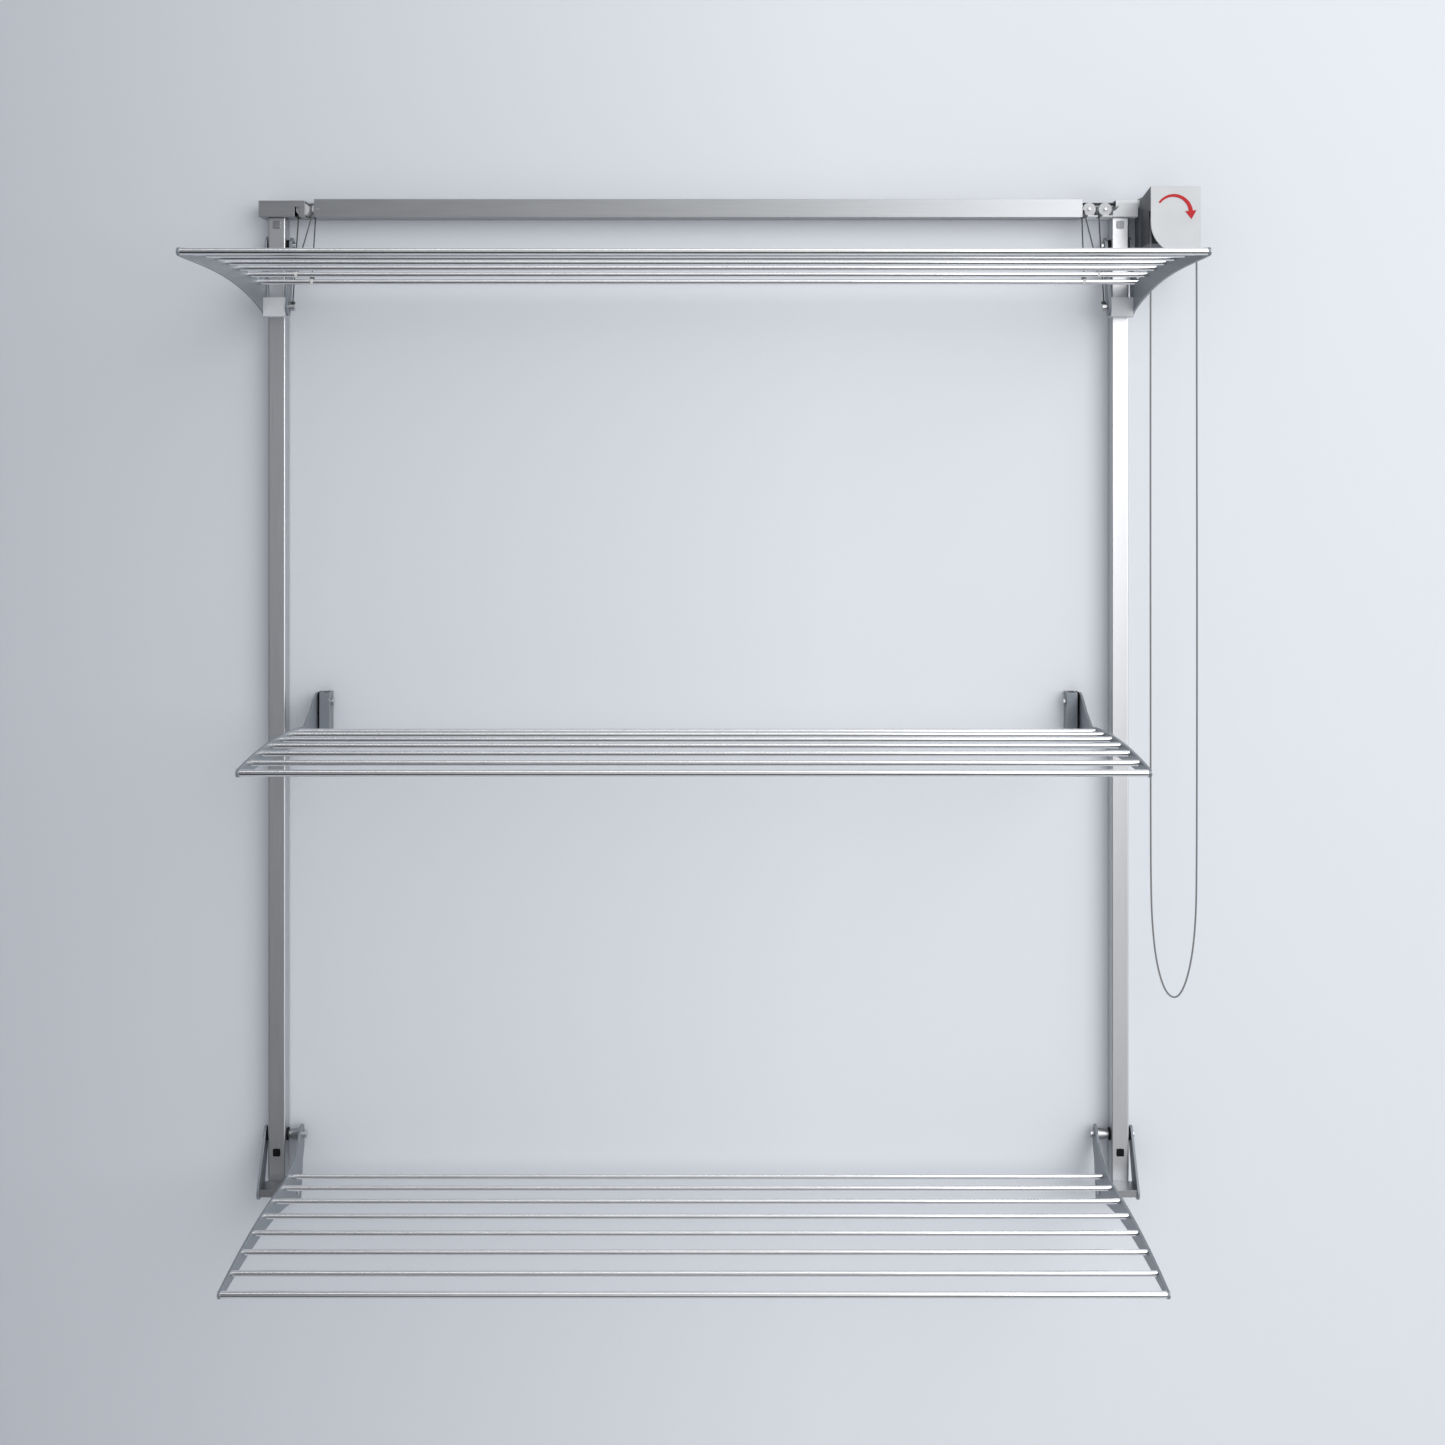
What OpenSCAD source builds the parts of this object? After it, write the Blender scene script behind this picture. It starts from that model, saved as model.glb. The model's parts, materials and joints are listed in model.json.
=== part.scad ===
// Wall mounted drying rack with three shelves that fold flat, millimetres, +Z up.
// The wall is the plane Y = 0 and the rack stands out from it towards -Y, so a point at
// distance d from the wall has y = -d. The origin is the centre of the four wall screws.

/* [Frame] */
// Distance between the centre lines of the two posts
post_spacing = 982; // [960:1:1010]
// Distance between the upper and the lower row of wall screws
screw_rows = 1080; // [1070:1:1090]
// Width of a post, seen from the front
post_w = 20; // [18:1:22]
// Depth of a post, out from the wall
post_depth = 25; // [23:1:26]
// Wall thickness of the post and beam tubes
tube_wall = 1.5; // [1.2:0.1:2]
// Height of the top beam
beam_h = 21; // [20.5:0.5:23]
// Bore for a wall screw
screw_bore = 5.5; // [4.5:0.5:6.5]

/* [Shelves] */
// Height between one shelf and the next
shelf_pitch = 510; // [500:1:515]
// Distance from the wall to the front bar of a shelf
reach = 413; // [405:1:425]
// Spacing of the rods
rod_pitch = 49; // [46:0.5:49]
// Diameter of a rod
rod_d = 6; // [5:0.5:7]
// Diameter of a front bar
bar_d = 7; // [6:0.5:8]
// How far the rods rise above the shelf's ends in a shallow arch
arch = 8; // [4:0.5:10]
// Thickness of the side plates
plate_t = 2.5; // [2:0.1:3]
// Width between the side plates of the top shelf
top_span = 1005; // [1005:0.5:1006]
// Width between the side plates of the middle shelf
middle_span = 889; // [888:0.5:891]
// Width between the side plates of the bottom shelf
bottom_span = 925; // [920:0.5:928]

/* [Winder] */
// Pitch radius of the wheel that the pull cord turns
wheel_r = 26; // [25:0.5:26.5]
// Diameter of the pull cord
pull_cord_d = 2; // [1.6:0.1:2.4]
// Diameter of the lift cords
lift_cord_d = 1.5; // [1:0.1:1.6]

/* [Hidden] */
$fn = 48;
aluminium = "#b9bcc0";
sheet_grey = "#8d939c";
dark = "#26282b";
white_plastic = "#e6e8ea";
red = "#c8141e";
nylon = "#d8dade";

// frame
post_x = post_spacing / 2;
post_in = post_x - post_w / 2;      // inner side face of a post
post_out = post_x + post_w / 2;     // outer side face of a post
screw_z = screw_rows / 2;
beam_z = 548;                       // underside of the beam
beam_back = 2;                      // the beam stands this far off the wall
beam_depth = 30;
beam_front = beam_back + beam_depth;
beam_end = 446;                     // half length of the beam
post_bottom = -588;
post_corner = 1.5;
driver_hole = 9;                    // hole in the front wall that lets the screw in
cap_w = 8.6;
spigot_l = 20;

// end housings
housing_in = 450;
housing_out = 510;
housing_h = 18.6;
housing_front = 34;
housing_wall = 1.5;
window_x = 456.5;
tongue_back = beam_back + tube_wall;
tongue_t = 4;
tongue_h = 14;

// shelves: the middle shelf has no rod at the rear place
pivot_d = 12.5;                     // distance of the pivots from the wall
rear_rod_d = 75;
rod_places = 7;
top_z = 469;
middle_z = top_z - shelf_pitch;
bottom_z = middle_z - shelf_pitch;
top_pivot_z = top_z + 47;
middle_pivot_z = middle_z + 24.5;
bottom_pivot_z = bottom_z + 29;
mid_d = (rear_rod_d + reach) / 2;
half_d = (reach - rear_rod_d) / 2;
pin_d = 6;
pin_bore = 6.1;
nose_r = 4.2;                       // round front end of a side plate
above_rod = 4;                      // side plate above the rod centres
taper_end = 400;                    // the side plate's deepening starts here
taper_l = 375;

// top yoke
arm_in = 474;
arm_t = 3;
block_d0 = 25.4;
block_d1 = 45;
block_z0 = 432;
block_z1 = 454;
block_bolt_d = 35.5;
block_bolt_z = 443;

// bottom yoke
outer_arm_x = post_out + 3.5;
bar_d0 = 25.4;
bar_d1 = 57;
bar_z0 = bottom_z - 30;
bar_t = 8;

// middle wall brackets
bracket_in = 429.5;
bracket_out = 441.5;
bracket_t = 2;
bracket_depth = 22;
bracket_z0 = middle_z - 14;
bracket_z1 = middle_z + 36;
bracket_screw_bore = 4.5;
pad_gap = 0.3;                      // between a friction pad and the moving plate
pad_z0 = middle_z + 10.4;

// pulleys and lift cords
pulley_z = 557.7;
pulley_cord_r = 6.3;                // centre of the cord in the groove
pulley_rim_r = 7.5;
axle_d = 3;
axle_bore = 3.1;
drop_inner = 448;                   // the cords that leave through the gap at the beam's end
drop_outer = 466.5;                 // the cord that runs down inside the post
front_cords = [24, 27];             // distance from the wall of the left and the right cord
rear_cords = [11, 14];
arm_cords = [17.5, 20.5];
all_cords = concat(rear_cords, arm_cords, front_cords);
cord_gap = 0.3;                     // between a cord and the pulley or drum under it
lug_rod = 1;                        // place of the rod that the front cord is tied to
lug_rise = 5;                       // eye of a lug above its rod's centre
lug_inner_x = 440;
tube_d0 = 8.5;                      // flat tube that the cords run through to the spool
tube_d1 = 30;
tube_z0 = 559;
tube_z1 = 568.4;
tube_t = 0.8;

// winder
wheel_x = 539.5;
wheel_z = 535;
wheel_d0 = 83;
wheel_w = 9;
spool_x = 546.9;
spool_z = 552.5;
shaft_d = 8;
shaft_bore = 8.1;
base_x0 = 513;
base_x1 = 566;
base_z0 = 512;
base_z1 = 570.5;
hood_slope = 0.135;                 // fall of the hood over the winder towards the wall
hood_rear = 35.5;
cover_x0 = 511.5;
cover_x1 = 567.5;
cover_z0 = 498;
cover_z1 = 575;
cover_d = 97.5;
cover_t = 2;
cover_corner = 36;
cover_screw_d = 3;
case_d0 = 35;
case_d1 = 80;
case_wall = 1.6;
gear_module = 1;
pinion_teeth = 10;
gear_teeth = 28;
gear_d0 = 66;
gear_w = 8;
sleeve_d0 = gear_d0 + gear_w + 0.5; // rear end of the wheel's sleeve, in front of the gear
wheel_axle_d = 5;
axle_bore_wheel = 5.1;
flange_d = 31;

// cord travel and the spool's stepped radii
function turned(p, pivot) = [pivot[0] - (p[1] - pivot[1]), pivot[1] + (p[0] - pivot[0])];
function travel(start, lug, pivot) = norm(lug - start) - norm(turned(lug, pivot) - start);
top_pivot = [pivot_d, top_pivot_z];
front_lug = [rod_place(lug_rod), top_z + rise(rod_place(lug_rod)) + lug_rise];
rear_lug = [rod_place(0), top_z + rise(rod_place(0)) + lug_rise];
arm_lug = [block_bolt_d, block_bolt_z + 5.3];
front_travel = travel([front_cords[1], pulley_z], front_lug, top_pivot);
rear_travel = travel([rear_cords[1], pulley_z], rear_lug, top_pivot);
arm_travel = travel([arm_cords[1], pulley_z], arm_lug, top_pivot);
spool_front_r = 11.5;
spool_rear_r = spool_front_r * rear_travel / front_travel;
spool_arm_r = spool_front_r * arm_travel / front_travel;

// route of the pull cord as x, distance from the wall and z, from the wheel's right side
// down, round the bottom of the loop and up again to the wheel's left side
pull_route = [[565.5, 87.5, 535], [565.6, 88, 450], [565.8, 88, 300], [566, 88, 150], [566, 88, 0],
              [565.8, 88, -120], [565.5, 88, -200], [564.5, 88, -250], [561, 88, -290],
              [555, 88, -320], [547.5, 88, -338], [539.5, 88, -343], [531, 88, -336],
              [524, 88, -318], [518.5, 88, -290], [515, 88, -250], [513.8, 88, -200],
              [513.5, 88, -120], [513.4, 88, 0], [513.3, 88, 150], [513.3, 88, 300],
              [513.4, 88, 450], [513.5, 87.5, 535]];
cord_rings = 3;

// pulley axles, screws of the cover, and the direction from the wheel to the spool
inner_left_x = -drop_inner + pulley_cord_r;
outer_left_x = -drop_outer + pulley_cord_r;
inner_right_x = drop_inner + pulley_cord_r;
outer_right_x = drop_outer + pulley_cord_r;
cover_posts = [[cover_x0 + 7, cover_z1 - 10], [cover_x1 - 7, cover_z1 - 10]];
mesh_angle = atan2(spool_z - wheel_z, spool_x - wheel_x);

// rear parts of the side plate outlines, as distance from the wall and height over the base
top_rear = [[30, -37], [27, -34], [24, -10], [20, 20], [4, 36], [3, 50], [8, 57], [16, 58],
            [23, 53], [25, 46], [30, 24], [40, 12]];
middle_rear = [[20, -13], [4, -11], [2.4, -8], [2.4, 6], [3, 28], [7, 34], [16, 36], [25, 34],
               [40, 28], [55, 19.5], [70, 14]];
bottom_rear = [[24, -43], [20, -30], [14, 0], [5, 14], [4, 30], [7, 38], [13, 41], [20, 40],
               [28, 34], [36, 26], [50, 18], [73, 12.5], [90, 11]];

// ---------- shared shapes ----------

// distance of a rod from the wall, by its place counted from the rear
function rod_place(i) = rear_rod_d + i * rod_pitch;

// height of the arch above the shelf's ends
function rise(d) = arch * (1 - pow((d - mid_d) / half_d, 2));

module place(x, d, z) {
    translate([x, -d, z]) children();
}

// box between two corners, given as x, distance from the wall and z
module block(x0, x1, d0, d1, z0, z1) {
    translate([x0, -d1, z0]) cube([x1 - x0, d1 - d0, z1 - z0]);
}

// round bar along X
module bar_x(x0, x1, d, z, diameter) {
    place(x0, d, z) rotate([0, 90, 0]) cylinder(h = x1 - x0, d = diameter);
}

// round bar along Y, from distance d0 to distance d1
module bar_y(x, z, d0, d1, diameter) {
    place(x, d0, z) rotate([90, 0, 0]) cylinder(h = d1 - d0, d = diameter);
}

// extrudes an outline drawn as distance from the wall and height, between x0 and x1
module side_sheet(x0, x1) {
    translate([x1, 0, 0]) rotate([90, 0, -90]) linear_extrude(x1 - x0) children();
}

// extrudes an outline drawn as x and z, between distances d0 and d1
module front_sheet(d0, d1) {
    place(0, d0, 0) rotate([90, 0, 0]) linear_extrude(d1 - d0) children();
}

module both_sides() {
    children();
    mirror([1, 0, 0]) children();
}

module rounded_rect(w, h, r) {
    translate([r - w / 2, r - h / 2]) {
        square([w - 2 * r, h - 2 * r]);
        translate([-r, 0]) square([w, h - 2 * r]);
        translate([0, -r]) square([w - 2 * r, h]);
        for (x = [0, w - 2 * r], y = [0, h - 2 * r]) {
            translate([x, y]) circle(r);
        }
    }
}

// ---------- frame ----------

module post() {
    difference() {
        place(post_x, post_depth / 2, post_bottom) linear_extrude(beam_z - post_bottom) {
            difference() {
                rounded_rect(post_w, post_depth, post_corner);
                square([post_w - 2 * tube_wall, post_depth - 2 * tube_wall], center = true);
            }
        }
        for (z = [-screw_z, screw_z]) {
            bar_y(post_x, z, -1, tube_wall + 1, screw_bore);
            bar_y(post_x, z, post_depth - tube_wall - 1, post_depth + 1, driver_hole);
        }
        for (z = [top_pivot_z, bottom_pivot_z]) {
            bar_x(post_in - 1, post_out + 1, pivot_d, z, pin_d + 4);
        }
    }
}

module post_left() {
    color(aluminium) mirror([1, 0, 0]) post();
}

module post_right() {
    color(aluminium) post();
}

module top_beam() {
    color(aluminium) difference() {
        block(-beam_end, beam_end, beam_back, beam_front, beam_z, beam_z + beam_h);
        block(-beam_end - 1, beam_end + 1, beam_back + tube_wall, beam_front - tube_wall,
              beam_z + tube_wall, beam_z + beam_h - tube_wall);
        bar_y(-drop_inner + pulley_cord_r, pulley_z, beam_front - tube_wall - 1, beam_front + 1,
              axle_d);
    }
}

// flat bars that join the beam to the end housings and carry the pulley axles
module beam_tongues() {
    color(sheet_grey) both_sides() {
        block(420, 482, tongue_back, tongue_back + tongue_t, pulley_z - tongue_h / 2,
              pulley_z + tongue_h / 2);
    }
}

// plug that the housing pushes into the post, with a way through for the wall screw
module spigot() {
    difference() {
        block(post_x - 8.3, post_x + 8.3, 1.7, post_depth - 1.7, beam_z - spigot_l,
              beam_z + 0.4);
        bar_y(post_x, screw_z, -1, post_depth + 1, driver_hole);
    }
}

module end_housing_left() {
    color(aluminium) mirror([1, 0, 0]) {
        difference() {
            front_sheet(beam_back, housing_front) {
                translate([housing_in, beam_z + 0.4])
                    square([housing_out - housing_in, housing_h]);
            }
            block(housing_in - 1, housing_out - housing_wall, beam_back + housing_wall,
                  housing_front - housing_wall, beam_z + 0.4 + housing_wall,
                  beam_z + 0.4 + housing_h - housing_wall);
            // windows for the inner pulley's cords and for the outer pulley's cord
            block(housing_in - 1, window_x, beam_back + housing_wall + 7,
                  housing_front + 1, beam_z - 1, beam_z + housing_h + 2);
            block(drop_outer - 3, drop_outer + 2, beam_back + 9, housing_front + 1, beam_z - 1,
                  pulley_z + 2);
        }
        spigot();
    }
}

module end_housing_right() {
    color(white_plastic) {
        difference() {
            union() {
                block(housing_in, housing_out, beam_back, beam_back + housing_wall,
                      beam_z + 0.4, beam_z + 0.4 + housing_h);
                block(housing_in, housing_out, beam_back, housing_front, beam_z + 0.4,
                      beam_z + 0.4 + housing_wall);
                front_sheet(housing_front - housing_wall, housing_front) {
                    difference() {
                        translate([post_in, beam_z + 0.4])
                            square([housing_out - post_in, 14]);
                        translate([post_in - 4, beam_z + 18]) circle(r = 12);
                    }
                }
            }
            block(drop_outer - 3, drop_outer + 2, beam_back + 9, housing_front + 1, beam_z - 1,
                  pulley_z + 2);
            block(housing_in - 1, housing_in + 2, beam_back + 9, housing_front + 1, beam_z - 1,
                  pulley_z + 2);
        }
        spigot();
    }
}

module post_end_caps() {
    color(dark) both_sides() {
        place(post_x, post_depth / 2, post_bottom) {
            linear_extrude(12) square([post_w - 3.2, post_depth - 3.2], center = true);
            translate([0, 0, -2])
                linear_extrude(2) rounded_rect(post_w, post_depth, post_corner);
            translate([0, 0, -8]) cylinder(h = 6, d = 5);
        }
    }
}

// square plug that closes the driver hole of a wall screw
module screw_cap(z) {
    bar_y(post_x, z, post_depth - 4, post_depth, driver_hole);
    place(post_x, post_depth, z) rotate([90, 0, 0])
        linear_extrude(1) rounded_rect(cap_w, cap_w, 1.2);
}

module screw_caps() {
    color(dark) both_sides() screw_cap(-screw_z);
}

module upper_screw_caps() {
    color(aluminium) both_sides() screw_cap(screw_z);
}

// bush pressed into the side wall of a post, with a flange that spaces the moving plate
module bush(x0, x1, z, flange_x0, flange_x1) {
    difference() {
        union() {
            bar_x(x0, x1, pivot_d, z, pin_d + 4);
            bar_x(flange_x0, flange_x1, pivot_d, z, pin_d + 9);
        }
        bar_x(min(x0, flange_x0) - 1, max(x1, flange_x1) + 1, pivot_d, z, pin_bore);
    }
}

module pivot_bushes() {
    color(dark) both_sides() {
        bush(post_in, post_in + 4, top_pivot_z, arm_in + arm_t + 0.3, post_in);
        bush(post_out - 4, post_out, top_pivot_z, post_out, top_span / 2 - 0.3);
        bush(post_in, post_in + 4, bottom_pivot_z, post_in - 1.5, post_in);
        bush(post_out - 4, post_out, bottom_pivot_z, post_out, outer_arm_x - 0.3);
    }
}

// ---------- middle wall brackets ----------

module wall_bracket() {
    difference() {
        union() {
            block(bracket_in, bracket_out, 0, bracket_depth, bracket_z0, bracket_z1);
            block(bracket_out - bracket_t, bracket_out + 6, 0, bracket_t, bracket_z0,
                  bracket_z0 + 16);
        }
        block(bracket_in + bracket_t, bracket_out - bracket_t, bracket_t, bracket_depth + 1,
              bracket_z0 - 1, bracket_z1 + 1);
        bar_x(bracket_in - 1, bracket_out + 1, pivot_d, middle_pivot_z, pin_bore);
        for (z = [bracket_z0 + 8, bracket_z1 - 6]) {
            bar_y((bracket_in + bracket_out) / 2, z, -1, bracket_t + 1, bracket_screw_bore);
        }
    }
}

// plate that closes the front of a bracket, with a rivet
module bracket_cover() {
    block(bracket_in, bracket_out, bracket_depth, bracket_depth + 1.2, bracket_z0, bracket_z1);
    bar_y(bracket_in + 2.5, middle_pivot_z + 3, bracket_depth + 1.2, bracket_depth + 1.8, 3);
}

module bracket_covers() {
    color(sheet_grey) both_sides() bracket_cover();
}

// pads between the brackets and the shelf's side plates
module friction_pads() {
    color(dark) both_sides() difference() {
        block(bracket_out, middle_span / 2 - pad_gap, 4, bracket_depth - 2, pad_z0, bracket_z1);
        bar_x(bracket_out - 1, middle_span / 2, pivot_d, middle_pivot_z, pin_bore);
    }
}

module wall_bracket_left() {
    color(sheet_grey) mirror([1, 0, 0]) wall_bracket();
}

module wall_bracket_right() {
    color(sheet_grey) wall_bracket();
}

// ---------- pulleys and lift cords ----------

// grooved pulley with its axis along Y and one groove for each cord
module pulley(x) {
    half_w = 2;
    d0 = min(all_cords) - half_w;
    d1 = max(all_cords) + half_w;
    difference() {
        bar_y(x, pulley_z, d0, d1, 2 * pulley_rim_r);
        bar_y(x, pulley_z, d0 - 1, d1 + 1, axle_bore);
        for (d = all_cords) {
            place(x, d, pulley_z) rotate([90, 0, 0]) rotate_extrude() {
                translate([pulley_cord_r, 0]) circle(d = lift_cord_d + 2 * cord_gap, $fn = 24);
                translate([pulley_cord_r, -1]) square([pulley_rim_r, 2]);
            }
        }
    }
}

module pulley_left_inner() {
    color(white_plastic) pulley(inner_left_x);
}

module pulley_left_outer() {
    color(white_plastic) pulley(outer_left_x);
}

module pulley_right_inner() {
    color(white_plastic) pulley(inner_right_x);
}

module pulley_right_outer() {
    color(white_plastic) pulley(outer_right_x);
}

module pulley_axles() {
    color(dark) {
        for (x = [inner_left_x, outer_left_x, inner_right_x, outer_right_x]) {
            bar_y(x, pulley_z, tongue_back + tongue_t, beam_front, axle_d);
        }
    }
}

// round bar between two points in space
module rod_between(a, b, diameter) {
    v = b - a;
    translate(a) rotate([0, acos(v[2] / norm(v)), atan2(v[1], v[0])])
        cylinder(h = norm(v), d = diameter);
}

// cord bent over the top of a pulley, a quarter turn that ends at the pulley's -X side,
// and its straight run to the spool
module cord_run(x, d, spool_r) {
    place(x, d, pulley_z) rotate([90, 0, 0]) rotate([0, 0, 90])
        rotate_extrude(angle = 90) translate([pulley_cord_r, 0]) circle(d = lift_cord_d);
    rod_between([x, -d, pulley_z + pulley_cord_r],
                [spool_x, -d, spool_z + spool_r + lift_cord_d / 2 + cord_gap], lift_cord_d);
}

module cord_runs() {
    inner = [inner_left_x, inner_right_x];
    outer = [outer_left_x, outer_right_x];
    color(nylon) for (side = [0, 1]) {
        cord_run(inner[side], front_cords[side], spool_front_r);
        cord_run(inner[side], rear_cords[side], spool_rear_r);
        cord_run(outer[side], arm_cords[side], spool_arm_r);
    }
}

// straight strand from just below its pulley to its lug
module strand(pulley_point, lug_point) {
    start = (pulley_rim_r + 1.5) / (pulley_point[2] - lug_point[2]);
    rod_between(pulley_point + start * (lug_point - pulley_point), lug_point, lift_cord_d);
}

// the three strands of one side, from the pulleys to the top shelf
module side_strands(side) {
    x_sign = 2 * side - 1;
    strand([x_sign * drop_inner, -front_cords[side], pulley_z],
           [x_sign * drop_inner, -front_lug[0], front_lug[1]]);
    strand([x_sign * drop_inner, -rear_cords[side], pulley_z],
           [x_sign * lug_inner_x, -rear_lug[0], rear_lug[1]]);
    strand([x_sign * drop_outer, -arm_cords[side], pulley_z],
           [x_sign * (arm_in - 4), -arm_lug[0], arm_lug[1]]);
}

module lift_cords() {
    color(nylon) {
        side_strands(0);
        side_strands(1);
    }
}

// clips on the rods with an eye for the cord
module cord_lug(x, rod) {
    d = rod_place(rod);
    z = top_z + rise(d);
    difference() {
        union() {
            bar_x(x - 1.5, x + 1.5, d, z, rod_d + 1.2);
            block(x - 1.5, x + 1.5, d - 1.5, d + 1.5, z + rod_d / 2, z + lug_rise - 1.2);
        }
        bar_x(x - 2, x + 2, d, z, rod_d);
    }
}

module cord_lugs() {
    color(nylon) both_sides() {
        cord_lug(drop_inner, lug_rod);
        cord_lug(lug_inner_x, 0);
    }
}

// outline of the cord tube as distance from the wall and height, smaller by inset
module tube_outline(inset) {
    w = tube_d1 - tube_d0 - 2 * inset;
    h = tube_z1 - tube_z0 - 2 * inset;
    translate([(tube_d0 + tube_d1) / 2, (tube_z0 + tube_z1) / 2])
        rounded_rect(w, h, 3 - inset);
}

module cord_tube() {
    color(white_plastic) side_sheet(post_in + 4, base_x0) difference() {
        tube_outline(0);
        tube_outline(tube_t);
    }
}

// ---------- winder ----------

module cover_outline() {
    difference() {
        translate([cover_x0, cover_z0]) square([cover_x1 - cover_x0, cover_z1 - cover_z0]);
        translate([cover_x0 - 1, cover_z0 - 1]) square(cover_corner + 1);
    }
    intersection() {
        translate([cover_x0 + cover_corner, cover_z0 + cover_corner])
            circle(r = cover_corner, $fn = 96);
        translate([cover_x0, cover_z0]) square(cover_corner + 1);
    }
}

// holds the spool behind the case, fixed to the wall side of the right housing
module winder_base() {
    color(sheet_grey) difference() {
        union() {
            block(base_x0, base_x1, 0.5, case_d0, base_z0, base_z1);
            block(post_x - 5, base_x0 + case_wall, 0.5, beam_back, pulley_z - 7, pulley_z + 8);
        }
        block(base_x0 + case_wall, base_x1 - case_wall, 0.5 + case_wall, case_d0 - case_wall,
              base_z0 + case_wall, base_z1 - case_wall);
        side_sheet(base_x0 - 1, base_x0 + case_wall + 1) tube_outline(tube_t);
        bar_y(spool_x, spool_z, 0, case_d0 + 1, shaft_bore);
    }
}

// outline of the gear case as distance from the wall and height, smaller by inset
module case_outline(inset) {
    d0 = case_d0 + inset;
    d1 = case_d1 - inset;
    polygon([[d0, base_z0 + inset], [d1, base_z0 + inset], [d1, hood_z(d1) - inset],
             [d0, hood_z(d0) - inset]]);
}

// height of the hood's top, which falls from the cover towards the wall
function hood_z(d) = cover_z1 - (cover_d - d) * hood_slope;

// roof and cheeks that carry the case forward to the cover, round the wheel
module winder_hood() {
    roof_d = case_d1 - 1;
    side_sheet(cover_x0, cover_x1)
        polygon([[cover_d, cover_z1], [roof_d, hood_z(roof_d)],
                 [roof_d, hood_z(roof_d) - case_wall], [cover_d, cover_z1 - case_wall]]);
    for (x = [[cover_x0, base_x0], [base_x1, cover_x1]]) {
        side_sheet(x[0], x[1])
            polygon([[cover_d, cover_z1], [hood_rear, hood_z(hood_rear)],
                     [hood_rear, hood_z(hood_rear) - 9], [cover_d, cover_z1 - 28]]);
    }
}

// gear case between the spool and the cord wheel
module winder_case() {
    color(dark) winder_hood();
    color(dark) difference() {
        side_sheet(base_x0, base_x1) case_outline(0);
        side_sheet(base_x0 + case_wall, base_x1 - case_wall) case_outline(case_wall);
        bar_y(spool_x, spool_z, case_d0 - 1, case_d0 + case_wall + 1, shaft_bore);
        bar_y(wheel_x, wheel_z, case_d1 - case_wall - 1, case_d1 + 1, 11.2);
        for (p = cover_posts) {
            bar_y(p[0], p[1], case_d1 - case_wall - 1, case_d1 + 1, cover_screw_d);
        }
    }
}

// front plate on two pillars, screwed on from inside the gear case
module winder_cover() {
    color(white_plastic) difference() {
        union() {
            front_sheet(cover_d, cover_d + cover_t) cover_outline();
            for (p = cover_posts) {
                bar_y(p[0], p[1], case_d1, cover_d, 6);
            }
        }
        for (p = cover_posts) {
            bar_y(p[0], p[1], case_d1 - 1, cover_d - 3, cover_screw_d);
        }
    }
}

module cover_screws() {
    color(aluminium) for (p = cover_posts) {
        bar_y(p[0], p[1], case_d1 - case_wall, cover_d - 3, cover_screw_d);
        bar_y(p[0], p[1], case_d1 - case_wall - 1.2, case_d1 - case_wall, 5);
    }
}

// curved arrow that shows which way to pull
module turn_arrow() {
    arrow_r = 19.5;
    start_angle = 145;
    end_angle = 5;
    steps = 16;
    swing = (end_angle - start_angle) / steps;
    tail_w = 1.1;                       // half width of the arrow's tail
    growth = 1.3;                       // how much the half width grows to the head
    centre = [cover_x0 + 25.5, cover_z1 - 30];
    outer = [for (i = [0 : steps]) let (a = start_angle + i * swing, w = tail_w + growth * i / steps)
             centre + (arrow_r + w) * [cos(a), sin(a)]];
    inner = [for (i = [steps : -1 : 0]) let (a = start_angle + i * swing, w = tail_w + growth * i / steps)
             centre + (arrow_r - w) * [cos(a), sin(a)]];
    head = centre + arrow_r * [cos(end_angle), sin(end_angle)];
    color(red) front_sheet(cover_d + cover_t, cover_d + cover_t + 0.4) {
        polygon(concat(outer, inner));
        translate(head) rotate(end_angle) polygon([[-6.5, 0.6], [6.5, 0.6], [0, -9]]);
    }
}

// spur gear outline with slim straight teeth
module gear_outline(teeth, turn) {
    pitch_r = gear_module * teeth / 2;
    root_r = pitch_r - 1.25 * gear_module;
    tip_r = pitch_r + 0.8 * gear_module;
    step = 360 / teeth;
    circle(r = root_r + 0.05, $fn = 4 * teeth);
    for (i = [0 : teeth - 1]) {
        a = turn + i * step;
        polygon([for (c = [[root_r, -0.26], [pitch_r, -0.19], [tip_r, -0.09], [tip_r, 0.09],
                           [pitch_r, 0.19], [root_r, 0.26]])
                 c[0] * [cos(a + c[1] * step), sin(a + c[1] * step)]]);
    }
}

module pinion() {
    color(nylon) difference() {
        front_sheet(gear_d0, sleeve_d0) {
            translate([wheel_x, wheel_z]) gear_outline(pinion_teeth, mesh_angle);
        }
        bar_y(wheel_x, wheel_z, gear_d0 - 1, sleeve_d0 + 1, axle_bore_wheel);
    }
}

module spool_gear() {
    color(nylon) difference() {
        front_sheet(gear_d0, gear_d0 + gear_w) {
            translate([spool_x, spool_z])
                gear_outline(gear_teeth, mesh_angle + 180 + 180 / gear_teeth);
        }
        bar_y(spool_x, spool_z, gear_d0 - 1, gear_d0 + gear_w + 1, shaft_d);
    }
}

module wheel_axle() {
    color(aluminium) {
        bar_y(wheel_x, wheel_z, case_d0 + case_wall, cover_d, wheel_axle_d);
    }
}

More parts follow.
